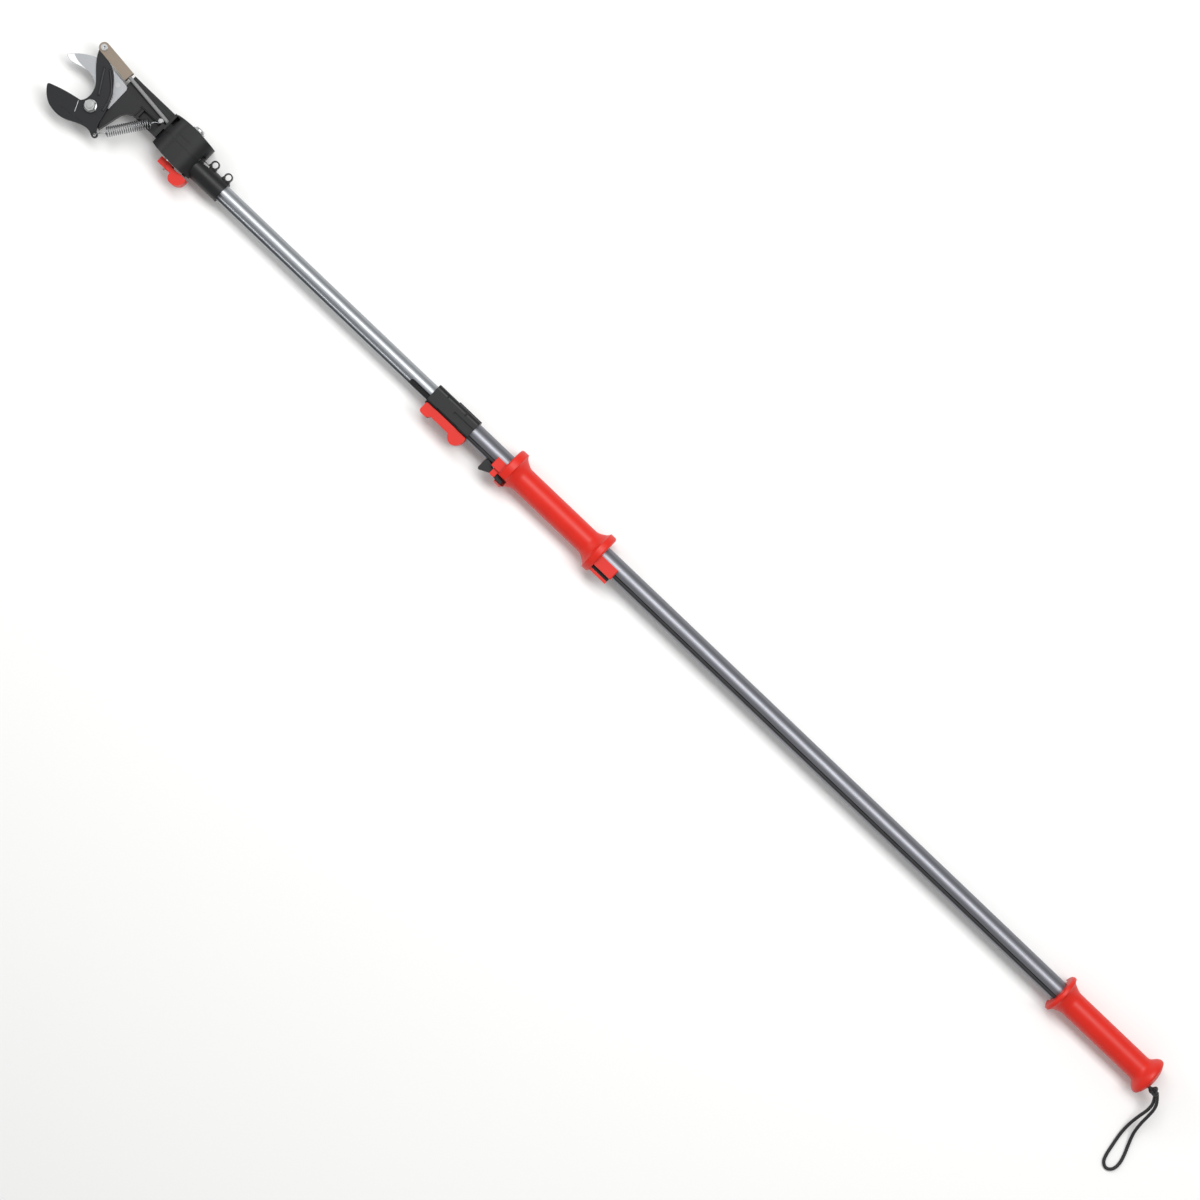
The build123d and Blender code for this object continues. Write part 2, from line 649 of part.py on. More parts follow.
def blade():
    """Fixed blade: curved cutting edge towards the hook, rear plate screwed to the frame."""
    tip = (1783.5, 8.0)
    low = (1727.2, 29.8)
    edges = [
        Spline(tip, (1774.0, 10.4), (1760.0, 6.2), (1747.0, 5.2), (1737.0, 9.0),
               (1730.4, 18.0), low),
        Line(low, (1722.0, 42.0)),
        Line((1722.0, 42.0), (1712.0, 41.0)),
        Line((1712.0, 41.0), (1701.8, 20.0)),
        Line((1701.8, 20.0), (1701.8, -8.6)),
        ThreePointArc((1701.8, -8.6), (1703.3, -12.3), (1707.0, -13.9)),
        Line((1707.0, -13.9), (1732.0, -16.6)),
        Spline((1732.0, -16.6), (1750.0, -15.6), (1765.0, -8.8), (1777.0, 0.6), tip),
    ]
    face = make_face(Wire(edges))
    body = plate(face, blade_low_z, blade_top_z)
    body = body - rod_z(pivot_x, pivot_y, pivot_r + seat_gap, 0, 60)
    for x, y in blade_screw_places():
        cone = Pos(x, y, blade_top_z - 1.0) * Cone(2.1, 3.15, 2.0)
        body = body - cone - rod_z(x, y, 2.1, 0, 60)
    return body


def blade_screw_places():
    return [(1713.6, -7.4), (1708.6, 10.6)]


def blade_screws():
    """Two countersunk screws, flush with the blade."""
    screws = []
    for x, y in blade_screw_places():
        head = Pos(x, y, blade_top_z - 1.0) * Cone(2.0, 3.1, 2.0)
        shank = rod_z(x, y, 2.0, plate_low_z + 1.0, blade_top_z - 1.9)
        screws.append(head + shank)
    return screws[0] + screws[1]


def head_frame():
    """Black frame: blade plate, rope channel, spring anchor and the upper knuckle disc."""
    up = axis_height
    base = make_face(Polyline(
        (1620.0, -28.0), (1706.0, -29.6), (1706.5, -14.4), (1728.0, -12.6), (1731.0, 4.0),
        (1727.5, 18.0), (1727.0, 30.0), (1722.0, 41.5), (1694.0, 47.4), (1686.8, 17.0),
        (1683.0, 11.0), (1677.0, 7.2), (1620.0, 7.2), close=True,
    ))
    body = plate(base, plate_low_z, plate_top_z)
    body += rod_z(pivot_x, pivot_y, 9.6, plate_low_z, plate_top_z)
    web = make_face(Polyline(
        (1701.3, -12.9), (1701.3, 34.0), (1694.0, 47.4), (1686.8, 17.0), (1683.0, 11.0),
        (1677.0, 7.2), (1620.0, 7.2), (1620.0, -10.6), (1650.0, -10.8), close=True,
    ))
    body += plate(web, plate_top_z - 0.5, blade_top_z - 0.2)
    body += box(1640.0, 1706.0, -29.3, -25.6, plate_top_z - 0.5, plate_top_z + 0.7)
    body += box(1616.0, 1637.5, -30.8, 7.2, up - 11.0, up + 10.0)
    body += box(1636.0, 1642.0, -12.0, 7.2, up - 11.0, up + 8.0)
    body -= box(1643.5, 1669.5, -7.0, 3.6, up - 4.0, up + 6)
    body += knuckle_block(-60, knuckle_split_y - face_gap)
    swing = knuckle_front + knuckle_r + 1.4
    body -= rod_y(tilt_x, up, swing, knuckle_split_y - face_gap, 40)
    seam = box(1560, 1650, -16.0, -14.8, up + knuckle_r - 0.7, up + knuckle_r + 2)
    body -= seam
    body -= box(1627.0, 1633.5, -29.4, -17.4, up - 1.6, up + 30)
    body -= box(1624.0, 1645.0, -19.0, -11.6, up - 0.4, up + 8.2)
    body -= box(1572.0, 1626.0, -17.0, knuckle_split_y - 0.6, up + 4.6, up + 13.0)
    body -= neck_run(head_rope_r + 0.3)
    body -= rod_y(tilt_x, up, 6.6, -16.7, -10.1)
    body -= rod_y(tilt_x, up, tilt_bolt_r + running_gap, -50, 0)
    body -= rod_z(pivot_x, pivot_y, pivot_r + seat_gap, 0, 60)
    body -= rod_z(anchor_x, anchor_y, 1.6, 0, 60)
    body -= spring_room()
    for x, y in blade_screw_places():
        body -= rod_z(x, y, 2.0 + seat_gap, plate_low_z + 0.9, 60)
    return body


def spring_anchor():
    """Steel pin pressed into the frame for the spring's upper hook."""
    pin = rod_z(anchor_x, anchor_y, 1.6 - seat_gap, plate_low_z, hook_top_z + 2.0)
    return pin + rod_z(anchor_x, anchor_y, 2.6, hook_top_z + 1.0, hook_top_z + 2.4)


def pivot_bolt():
    head = hexagon_z(pivot_x, pivot_y, 13.0, plate_low_z - 5.3, plate_low_z - 0.02)
    return head + rod_z(pivot_x, pivot_y, pivot_r, plate_low_z - 1, hook_top_z + 9.4)


def pivot_washer():
    ring = rod_z(pivot_x, pivot_y, 7.9, hook_top_z + face_gap, hook_top_z + 1.5)
    return ring - rod_z(pivot_x, pivot_y, pivot_r + seat_gap, 0, 60)


def pivot_nut():
    nut = hexagon_z(pivot_x, pivot_y, 13.0, hook_top_z + 1.5, hook_top_z + 8.0)
    top = Pos(pivot_x, pivot_y, hook_top_z + 4.75) * Cone(9.9, 6.2, 6.5)
    return (nut & top) - rod_z(pivot_x, pivot_y, pivot_r + seat_gap, 0, 60)


rope_dx = 1626.0 - rivet_x
rope_dy = -14.7 - rivet_y
rope_angle = degrees(atan2(rope_dy, rope_dx))


def on_clevis(distance, side=0.0):
    """Point at a distance from the rivet towards the rope's way into the head."""
    a = radians(rope_angle)
    return (rivet_x + distance * cos(a) - side * sin(a), rivet_y + distance * sin(a) + side * cos(a))


def clevis_outline(start, end, half):
    a, b = on_clevis(start, half), on_clevis(end, half)
    c, d = on_clevis(end, -half), on_clevis(start, -half)
    return make_face(Polyline(a, b, c, d, close=True))


def clevis():
    """Folded steel clevis: two cheeks either side of the arm, joined by a web at the rope end."""
    low = hook_low_z - face_gap - clevis_sheet
    high = hook_top_z + face_gap + clevis_sheet
    strip = clevis_outline(0, clevis_length, clevis_half) + Pos(rivet_x, rivet_y) * Circle(clevis_half)
    inner = clevis_outline(-20, clevis_length - clevis_sheet, clevis_half + 5)
    body = plate(strip, low, high) - plate(inner, low + clevis_sheet, high - clevis_sheet)
    body -= rod_z(rivet_x, rivet_y, rivet_r + seat_gap, 0, 60)
    x, y = on_clevis(clevis_length - 5)
    hole = Plane(origin=(x, y, arm_z), z_dir=(cos(radians(rope_angle)), sin(radians(rope_angle)), 0))
    return body - extrude(hole * Circle(head_rope_r + 0.1), 12)


def clevis_rivet():
    low = hook_low_z - face_gap - clevis_sheet
    high = hook_top_z + face_gap + clevis_sheet
    shank = rod_z(rivet_x, rivet_y, rivet_r, low - 1.0, high + 0.5)
    heads = rod_z(rivet_x, rivet_y, 4.2, high, high + 1.3) + rod_z(rivet_x, rivet_y, 4.2, low - 1.3, low)
    return shank + heads - rod_z(rivet_x, rivet_y, 1.4, high - 1.5, high + 2)


def rope_ferrule():
    """Crimped sleeve on the rope's end, held behind the clevis web."""
    x, y = on_clevis(clevis_length - clevis_sheet - 9.0)
    plane = Plane(origin=(x, y, arm_z), z_dir=(cos(radians(rope_angle)), sin(radians(rope_angle)), 0))
    tube = extrude(plane * Circle(2.28), 8.8) - extrude(plane * Circle(1.2), 8.8)
    return tube


def head_rope():
    """Grey rope from the clevis web to the frame's ear."""
    x, y = on_clevis(clevis_length - clevis_sheet + 0.1)
    length = hypot(1626.0 - x, -14.7 - y)
    plane = Plane(origin=(x, y, arm_z), z_dir=(1626.0 - x, -14.7 - y, 0))
    return extrude(plane * Circle(head_rope_r), length)


spring_dx = tail_x - anchor_x
spring_dy = tail_y - anchor_y
spring_length = hypot(spring_dx, spring_dy)
spring_z = arm_z + 2.0


def on_spring(distance, side=0.0, z=spring_z):
    ux, uy = spring_dx / spring_length, spring_dy / spring_length
    return (anchor_x + ux * distance - uy * side, anchor_y + uy * distance + ux * side, z)


def spring_wire(points, radii):
    path = FilletPolyline(*points, radius=radii)
    return sweep(Plane(origin=path @ 0, z_dir=path % 0) * Circle(spring_wire_r), path=path)


def return_spring():
    """Outer shape of the extension spring's coil, with its upper hook round the anchor pin."""
    start = on_spring(14.0)
    plane = Plane(origin=start, z_dir=(spring_dx, spring_dy, 0))
    ring = Circle(spring_coil_r) - Circle(spring_coil_r - 2 * spring_wire_r)
    coil = extrude(plane * ring, spring_coil_length)
    cap = extrude(plane * Circle(spring_coil_r), 1.6)
    hook = spring_wire([on_spring(14.6), on_spring(6.0), on_spring(1.0, 2.5), on_spring(-2.5, 2.5),
                        on_spring(-2.5, -2.5), on_spring(2.0, -2.5)], [3.0, 2.4, 2.3, 2.3])
    return coil + cap + hook


def spring_room():
    """Room that the coil sweeps over the frame while the hook closes."""
    start = on_spring(13.0)
    plane = Plane(origin=start, z_dir=(spring_dx, spring_dy, 0))
    coil = extrude(plane * Circle(spring_coil_r + 0.7), 40)
    return coil + coil.rotate(Axis((anchor_x, anchor_y, 0), (0, 0, -1)), 3.4) + coil.rotate(
        Axis((anchor_x, anchor_y, 0), (0, 0, -1)), 6.8
    )


def spring_tail_hook():
    """Lower hook of the spring, through the lever's tail eye."""
    top = spring_z + 3.2
    points = [
        on_spring(67.6, 0, spring_z),
        on_spring(72.0, 0, top),
        on_spring(spring_length, 0, top),
        on_spring(spring_length, 0, hook_low_z - 1.0),
    ]
    return spring_wire(points, [2.0, 2.0])


# Wrist loop: one rope end tied into the loop, laid out flat beside the end grip.
# The points go from the knot along the far strand, round the end and back to the knot.
loop_r = 2.2
knot_y = pull_rope_r_pos * sin(turn)
knot_z = axis_height + pull_rope_r_pos * cos(turn)
loop_points = [
    (-21.5, 10.5, 32.0),
    (-28.0, 18.0, 28.0),
    (-30.2, 29.0, 22.0),
    (-29.0, 42.0, 14.5),
    (-28.6, 56.0, 7.0),
    (-29.6, 72.0, 2.9),
    (-32.4, 88.0, 2.3),
    (-35.0, 102.6, 2.3),
    (-38.6, 111.8, 2.3),
    (-46.2, 115.4, 2.3),
    (-53.2, 110.8, 2.3),
    (-54.8, 101.0, 2.3),
    (-51.8, 89.0, 2.3),
    (-45.8, 75.0, 2.9),
    (-39.8, 61.0, 7.0),
    (-36.8, 47.0, 14.0),
    (-35.6, 34.0, 21.5),
    (-33.6, 21.0, 28.5),
    (-26.6, 11.6, 34.4),
    (-20.6, 6.4, 35.0),
]


def corner_radii(points, least):
    """Each arc as large as its two runs allow."""
    radii = []
    for a, b, c in zip(points, points[1:], points[2:]):
        u = Vector(b) - Vector(a)
        v = Vector(c) - Vector(b)
        bend = radians(u.get_angle(v))
        radii.append(0.45 * min(u.length, v.length) / tan(bend / 2))
    print("loop corner radii", [round(r, 1) for r in radii], "least allowed", least)
    return radii


def wrist_loop():
    return rope_along(loop_points, corner_radii(loop_points, 3 * 2 * loop_r), loop_r)


def wrist_knot():
    """Overhand knot that stops the rope at the end grip and starts the loop."""
    centre = (-16.9, 7.9, knot_z - 0.3)
    half_length, half_width = 6.9, 6.1
    outline = make_face([
        Spline((-half_length, 0), (0, half_width), (half_length, 0), tangents=[(0, 1), (0, -1)]),
        Line((half_length, 0), (-half_length, 0)),
    ])
    body = Pos(*centre) * revolve(outline, axis=Axis.X)
    body -= straight_rope(end_dome_x - 4.0, end_dome_x + 5, rope_r, pull_rope_r_pos)
    return body - wrist_loop()


nodes = {
    "outer_tube": outer_tube,
    "end_grip": end_grip,
    "end_plug": end_plug,
    "grip_screw": grip_screw,
    "mid_grip": mid_grip,
    "rope_keeper": rope_keeper,
    "lock_pin": lock_pin,
    "rope_lock_lever": rope_lock_lever,
    "pull_rope": pull_rope,
    "return_rope": return_rope,
    "clamp_collar": clamp_collar,
    "clamp_bush": clamp_bush,
    "rope_guide": rope_guide,
    "clamp_pad": clamp_pad,
    "clamp_pin": clamp_pin,
    "clamp_lever": clamp_lever,
    "inner_tube": inner_tube,
    "return_block": return_block,
    "return_pin": return_pin,
    "return_pulley": return_pulley,
    "tube_rope": tube_rope,
    "neck_rope": neck_rope,
    "knuckle_sleeve": knuckle_sleeve,
    "sleeve_screws": sleeve_screws,
    "tilt_bolt": tilt_bolt,
    "tilt_washer": tilt_washer,
    "thrust_washer": thrust_washer,
    "tilt_sheave": tilt_sheave,
    "tilt_yoke": tilt_yoke,
    "tilt_pin": tilt_pin,
    "tilt_lever": tilt_lever,
    "head_frame": head_frame,
    "spring_anchor": spring_anchor,
    "blade": blade,
    "blade_screws": blade_screws,
    "pivot_bolt": pivot_bolt,
    "pivot_washer": pivot_washer,
    "pivot_nut": pivot_nut,
    "hook_lever": hook_lever,
    "clevis": clevis,
    "clevis_rivet": clevis_rivet,
    "rope_ferrule": rope_ferrule,
    "head_rope": head_rope,
    "return_spring": return_spring,
    "spring_tail_hook": spring_tail_hook,
    "wrist_loop": wrist_loop,
    "wrist_knot": wrist_knot,
}

os.makedirs("parts", exist_ok=True)
for name, make in nodes.items():
    export_step(make(), "parts/" + name + ".step")
    print("made", name)
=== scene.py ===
# %% [markdown]
# # A telescoping pole pruner
# The pruner is a long tool for cutting branches from the ground. Two grooved tubes slide in
# each other, a rope in their groove pulls a hook towards a fixed blade, and a cam lever locks
# each joint. The engineering model already holds every part in its place, so this file gives
# the parts their finishes and makes what a machine model leaves out: the coil of the spring,
# the braid of the ropes, the ground edge of the blade and the soft edges of the mouldings.

# %% Load the engineering model
import json
from math import cos, pi, radians, sin

import bmesh
import bpy
from mathutils import Matrix, Vector


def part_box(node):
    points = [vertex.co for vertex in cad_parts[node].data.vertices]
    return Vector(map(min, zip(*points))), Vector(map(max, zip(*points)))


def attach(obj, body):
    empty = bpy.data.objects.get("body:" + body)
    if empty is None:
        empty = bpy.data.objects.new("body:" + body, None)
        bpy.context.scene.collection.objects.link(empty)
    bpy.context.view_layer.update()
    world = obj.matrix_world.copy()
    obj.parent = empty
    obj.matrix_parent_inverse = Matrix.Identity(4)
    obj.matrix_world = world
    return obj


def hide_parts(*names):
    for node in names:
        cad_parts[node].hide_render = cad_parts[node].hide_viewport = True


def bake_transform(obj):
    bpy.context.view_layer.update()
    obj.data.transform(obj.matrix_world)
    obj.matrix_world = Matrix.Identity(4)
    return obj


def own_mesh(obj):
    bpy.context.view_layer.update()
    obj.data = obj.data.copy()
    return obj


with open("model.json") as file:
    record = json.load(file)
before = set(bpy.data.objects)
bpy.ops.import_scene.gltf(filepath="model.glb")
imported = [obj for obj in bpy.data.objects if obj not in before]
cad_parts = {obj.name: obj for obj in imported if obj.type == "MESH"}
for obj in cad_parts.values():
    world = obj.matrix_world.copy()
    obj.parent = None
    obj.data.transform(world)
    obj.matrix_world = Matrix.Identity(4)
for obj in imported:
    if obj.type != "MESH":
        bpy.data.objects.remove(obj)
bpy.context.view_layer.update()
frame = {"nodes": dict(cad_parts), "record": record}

MM = 0.001
scene = bpy.context.scene

# %% [markdown]
# ## Camera, floor and light
# The pruner lies on a pale surface and is seen from straight above, turned so that the pole
# runs across the picture. A long lens from four metres away keeps the pole straight. Wide,
# soft lamps on both sides draw long highlights on round tubes, which is what tells the eye
# that they are round.

# %% Camera
POLE_Z = 25 * MM
VIEW_X, VIEW_Y, VIEW_HEIGHT = 868.7 * MM, 40.3 * MM, 4.0
camera_data = bpy.data.cameras.new("camera")
camera_data.lens = 100.0
camera_data.sensor_width = 36.0
camera = bpy.data.objects.new("camera", camera_data)
scene.collection.objects.link(camera)
right = Vector((-0.72348, -0.69034, 0.0))
up = Vector((0.69034, -0.72348, 0.0))
turn = Matrix((right, up, right.cross(up))).transposed().to_4x4()
camera.matrix_world = Matrix.Translation((VIEW_X, VIEW_Y, POLE_Z + VIEW_HEIGHT)) @ turn
scene.camera = camera
scene.view_settings.view_transform = "Standard"


# %% Colours and nodes
def linear(code):
    """Turns an sRGB hex colour into the linear values that shaders use."""
    values = [int(code[i:i + 2], 16) / 255 for i in (1, 3, 5)]
    return tuple(
        v / 12.92 if v <= 0.04045 else ((v + 0.055) / 1.055) ** 2.4 for v in values
    ) + (1.0,)


def add(tree, kind, inputs=None, **settings):
    """Adds a node; an input is a value, or a (node, output name) pair to link from."""
    node = tree.nodes.new(kind)
    for name, value in settings.items():
        setattr(node, name, value)
    for name, value in (inputs or {}).items():
        if isinstance(value, tuple) and len(value) == 2 and hasattr(value[0], "outputs"):
            tree.links.new(value[0].outputs[value[1]], node.inputs[name])
        else:
            node.inputs[name].default_value = value
    return node


def new_material(name, **shader):
    """A material with one Principled shader, whose plain values are set on its sockets."""
    material = bpy.data.materials.new(name)
    material.use_nodes = True
    bsdf = material.node_tree.nodes["Principled BSDF"]
    for socket, value in shader.items():
        bsdf.inputs[socket.replace("_", " ")].default_value = value
    return material, material.node_tree, bsdf


# %% Floor and lamps
floor_material, _, floor_shader = new_material("pale studio card", Roughness=0.9)
floor_shader.inputs["Base Color"].default_value = linear("#f4f4f3")
bpy.ops.mesh.primitive_plane_add(size=14.0, location=(0.87, 0.04, 0.0))
floor = bpy.context.object
floor.name = "floor"
floor.data.materials.append(floor_material)


def lamp(name, place, aim, size_x, size_y, watts):
    """A soft rectangular lamp that points at a place."""
    data = bpy.data.lights.new(name, "AREA")
    data.shape = "RECTANGLE"
    data.size = size_x
    data.size_y = size_y
    data.energy = watts
    lamp_object = bpy.data.objects.new(name, data)
    scene.collection.objects.link(lamp_object)
    lamp_object.location = place
    direction = Vector(aim) - Vector(place)
    lamp_object.rotation_euler = direction.to_track_quat("-Z", "Y").to_euler()


lamp("key lamp", (0.87, -0.85, 2.3), (0.87, 0.0, 0.0), 3.4, 0.8, 62)
lamp("fill lamp", (0.87, 2.4, 1.9), (0.87, 0.0, 0.0), 3.2, 0.8, 4)
lamp("end lamp", (3.4, 0.2, 1.6), (1.5, 0.0, 0.0), 1.2, 1.2, 12)

world = bpy.data.worlds.new("studio")
world.use_nodes = True
world.node_tree.nodes["Background"].inputs["Color"].default_value = (1.0, 1.0, 1.0, 1.0)
world.node_tree.nodes["Background"].inputs["Strength"].default_value = 0.42
scene.world = world

# %% [markdown]
# ## Finishes
# Each finish starts from what the real one is and how it was made. Moulded nylon has a fine
# spark-eroded grain, drawn tube has faint lines along its length, ground steel has short
# scratches across it, and zinc plate is slightly cloudy. Object coordinates are in metres,
# so the scale of a pattern is one over its real size.


# %% Mouldings
def moulded(name, colour, roughness, grain_mm, bump, ior):
    """Injection-moulded nylon: even colour, a fine grain and slightly cloudy gloss."""
    material, tree, bsdf = new_material(name, Roughness=roughness, IOR=ior)
    place = add(tree, "ShaderNodeTexCoord")
    cloud = add(tree, "ShaderNodeTexNoise", {"Vector": (place, "Object"), "Scale": 1 / (18 * MM),
                                             "Detail": 3.0})
    shade = add(tree, "ShaderNodeMapRange", {"Value": (cloud, "Fac"), "To Min": 0.93,
                                             "To Max": 1.07})
    tint = add(tree, "ShaderNodeVectorMath", {0: linear(colour)[:3], "Scale": (shade, "Result")},
               operation="SCALE")
    tree.links.new(tint.outputs["Vector"], bsdf.inputs["Base Color"])
    gloss = add(tree, "ShaderNodeMapRange", {"Value": (cloud, "Fac"), "To Min": roughness - 0.05,
                                             "To Max": roughness + 0.07})
    tree.links.new(gloss.outputs["Result"], bsdf.inputs["Roughness"])
    grain = add(tree, "ShaderNodeTexNoise", {"Vector": (place, "Object"),
                                             "Scale": 1 / (grain_mm * MM), "Detail": 2.0})
    relief = add(tree, "ShaderNodeBump", {"Height": (grain, "Fac"), "Strength": bump,
                                          "Distance": 0.1 * MM})
    tree.links.new(relief.outputs["Normal"], bsdf.inputs["Normal"])
    return material


red_nylon = moulded("red moulded nylon", "#d01d08", 0.42, 0.9, 0.25, 1.45)
black_nylon = moulded("black glass filled nylon", "#101113", 0.42, 0.7, 0.45, 1.42)


# %% Metals
def metal(name, colour, roughness, stretch, grain_mm, tone, bump, metallic=1.0):
    """Metal whose streaks are stretched along one direction, such as drawn or ground metal."""
    material, tree, bsdf = new_material(name, Metallic=metallic)
    place = add(tree, "ShaderNodeTexCoord")
    lines = add(tree, "ShaderNodeMapping", {"Vector": (place, "Object"), "Scale": stretch})
    streak = add(tree, "ShaderNodeTexNoise", {"Vector": (lines, "Vector"),
                                              "Scale": 1 / (grain_mm * MM), "Detail": 4.0})
    shade = add(tree, "ShaderNodeMapRange", {"Value": (streak, "Fac"), "From Min": 0.25,
                                             "From Max": 0.75, "To Min": 1.0 - tone,
                                             "To Max": 1.0 + tone})
    tint = add(tree, "ShaderNodeVectorMath", {0: linear(colour)[:3], "Scale": (shade, "Result")},
               operation="SCALE")
    tree.links.new(tint.outputs["Vector"], bsdf.inputs["Base Color"])
    gloss = add(tree, "ShaderNodeMapRange", {"Value": (streak, "Fac"), "From Min": 0.25,
                                             "From Max": 0.75, "To Min": roughness + 0.05,
                                             "To Max": roughness - 0.05})
    tree.links.new(gloss.outputs["Result"], bsdf.inputs["Roughness"])
    relief = add(tree, "ShaderNodeBump", {"Height": (streak, "Fac"), "Strength": bump,
                                          "Distance": 0.05 * MM})
    tree.links.new(relief.outputs["Normal"], bsdf.inputs["Normal"])
    return material


dark_tube = metal("grey anodised drawn tube", "#808187", 0.42, (0.02, 1, 1), 0.6, 0.05, 0.2)
bright_tube = metal("silver anodised drawn tube", "#a3a6aa", 0.42, (0.02, 1, 1), 0.6, 0.04, 0.15)
black_steel = metal("black coated steel", "#1b1c1f", 0.38, (1, 1, 1), 2.2, 0.18, 0.3, 0.4)
blade_steel = metal("ground blade steel", "#a6a8ab", 0.36, (1, 0.06, 1), 0.5, 0.07, 0.3)
# Partly painted highlight: the honed edge and the scribed scratch are really brighter steel, and
# this near-white, mostly diffuse colour also paints the glint that the blade's ground edge
# catches.
honed_steel_with_painted_glint = metal("honed steel edge with painted glint", "#eef0f1", 0.45, (0.1, 1, 1), 0.4, 0.03, 0.1, 0.3)
zinc_steel = metal("bright zinc plate", "#bcbdbd", 0.3, (1, 1, 1), 5.0, 0.08, 0.06)
# Painted shade: this wire is a darker grey than the zinc parts, so the coil reads dark between
# its turns as if shaded.
spring_steel_with_painted_shade = metal("spring wire with painted shade", "#8f9092", 0.24, (1, 1, 1), 4.0, 0.05, 0.05)
yellow_zinc = metal("passivated steel sheet", "#857a6e", 0.4, (0.15, 1, 1), 0.8, 0.06, 0.15)


# %% Braided rope
def braided(name, colour, roughness):
    """Braided polyester: the strands are in the mesh; this adds their fine threads and paints
    shade between the strands and light on their tops.
    """
    material, tree, bsdf = new_material(name, Roughness=roughness, Sheen_Weight=0.25,
                                        Sheen_Roughness=0.4)
    place = add(tree, "ShaderNodeTexCoord")
    fibre = add(tree, "ShaderNodeTexNoise", {"Vector": (place, "Object"), "Scale": 1 / (0.5 * MM),
                                             "Detail": 3.0})
    depth = add(tree, "ShaderNodeAttribute", attribute_name="strand", attribute_type="GEOMETRY")
    sum_of = add(tree, "ShaderNodeMath", {0: (depth, "Fac"), 1: (fibre, "Fac")}, operation="ADD")
    # Painted shade and highlight: the colour darkens where the braid's surface lies low between
    # strands and lightens on the strand tops; the fibre noise is a real random tone.
    shade = add(tree, "ShaderNodeMapRange", {"Value": (sum_of, "Value"), "From Min": 0.4,
                                             "From Max": 1.5, "To Min": 0.35, "To Max": 1.35})
    tint = add(tree, "ShaderNodeVectorMath", {0: linear(colour)[:3], "Scale": (shade, "Result")},
               operation="SCALE")
    tree.links.new(tint.outputs["Vector"], bsdf.inputs["Base Color"])
    relief = add(tree, "ShaderNodeBump", {"Height": (fibre, "Fac"), "Strength": 0.5,
                                          "Distance": 0.15 * MM})
    tree.links.new(relief.outputs["Normal"], bsdf.inputs["Normal"])
    return material


black_braid = braided("black braided polyester", "#1d1d20", 0.62)
grey_braid = braided("grey braided polyester", "#8d8d8e", 0.6)
FINISHES = {
    "red_plastic": red_nylon, "black_plastic": black_nylon, "tube_dark": dark_tube,
    "tube_bright": bright_tube, "black_steel": black_steel, "blade_steel": blade_steel,
    "zinc_steel": zinc_steel, "yellow_zinc": yellow_zinc, "rope_black": black_braid,
    "rope_grey": grey_braid,
}

# %% [markdown]
# ## Give every part its finish
# The record names a material slot for each node. Parts with a simple, right shape keep their
# mesh. Mouldings and thick plates are copied instead: the copy's loose triangles are merged,
# flat faces are joined, and a small bevel rounds each hard edge, because a real edge always
# has a radius that catches the light.

# %% Finishes on the nodes
slot_of = {part["node"]: part["material_slot"] for part in frame["record"]["subparts"]}
node_object = frame["nodes"]
bodies = frame["record"]["behaviour"]["bodies"]
body_of = {node: body for body, nodes in bodies.items() for node in nodes}
for node, slot in sorted(slot_of.items()):
    node_object[node].data.materials.clear()
    node_object[node].data.materials.append(FINISHES[slot])
print("finished nodes", len(slot_of))


# %% Soft edges
def as_mesh(shape_object, name):
    """The object with its modifiers turned into a plain mesh object."""
    bpy.context.view_layer.update()
    graph = bpy.context.evaluated_depsgraph_get()
    mesh = bpy.data.meshes.new_from_object(shape_object.evaluated_get(graph))
    bpy.data.objects.remove(shape_object)
    result = bpy.data.objects.new(name, mesh)
    scene.collection.objects.link(result)
    return result


def object_of(shell, name, smooth=True):
    """A new object made from a bmesh, which is freed."""
    mesh = bpy.data.meshes.new(name)
    shell.to_mesh(mesh)
    shell.free()
    if smooth:
        mesh.shade_smooth()
    piece = bpy.data.objects.new(name, mesh)
    scene.collection.objects.link(piece)
    return piece


def finished(piece, material, node):
    """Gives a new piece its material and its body."""
    piece.data.materials.clear()
    piece.data.materials.append(material)
    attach(piece, body_of[node])
    return piece


def soft_edged(node, radius_mm, segments=2, sharp=32):
    """A copy of a node with rounded edges, which stands for the node."""
    shell = bmesh.new()
    shell.from_mesh(node_object[node].data)
    bmesh.ops.remove_doubles(shell, verts=shell.verts, dist=0.002 * MM)
    bmesh.ops.dissolve_limit(shell, angle_limit=radians(0.6), verts=shell.verts,
                             edges=shell.edges)
    mesh = bpy.data.meshes.new(node)
    shell.to_mesh(mesh)
    shell.free()
    mesh.shade_smooth()
    draft = bpy.data.objects.new("draft", mesh)
    scene.collection.objects.link(draft)
    bevel = draft.modifiers.new("bevel", "BEVEL")
    bevel.width = radius_mm * MM
    bevel.segments = segments
    bevel.limit_method = "ANGLE"
    bevel.angle_limit = radians(sharp)
    weighted = draft.modifiers.new("normals", "WEIGHTED_NORMAL")
    weighted.keep_sharp = True
    piece = as_mesh(draft, node + "_soft")
    finished(piece, FINISHES[slot_of[node]], node)
    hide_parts(node)
    return piece


SOFT_NODES = {
    "end_grip": 0.5, "mid_grip": 0.6, "clamp_collar": 0.4, "clamp_lever": 0.8,
    "rope_lock_lever": 0.5, "rope_keeper": 0.3, "knuckle_sleeve": 0.5, "tilt_lever": 0.7,
    "tilt_yoke": 0.6, "pivot_nut": 0.4, "pivot_bolt": 0.3, "tilt_bolt": 0.3,
    "head_frame": 0.35, "hook_lever": 0.6, "clevis": 0.2, "tilt_washer": 0.2,
    "pivot_washer": 0.25, "rope_guide": 0.3, "clevis_rivet": 0.25, "outer_tube": 0.25,
    "inner_tube": 0.25,
}
for node, radius_mm in SOFT_NODES.items():
    soft = soft_edged(node, radius_mm)
    print("soft edges on", node, len(soft.data.polygons))
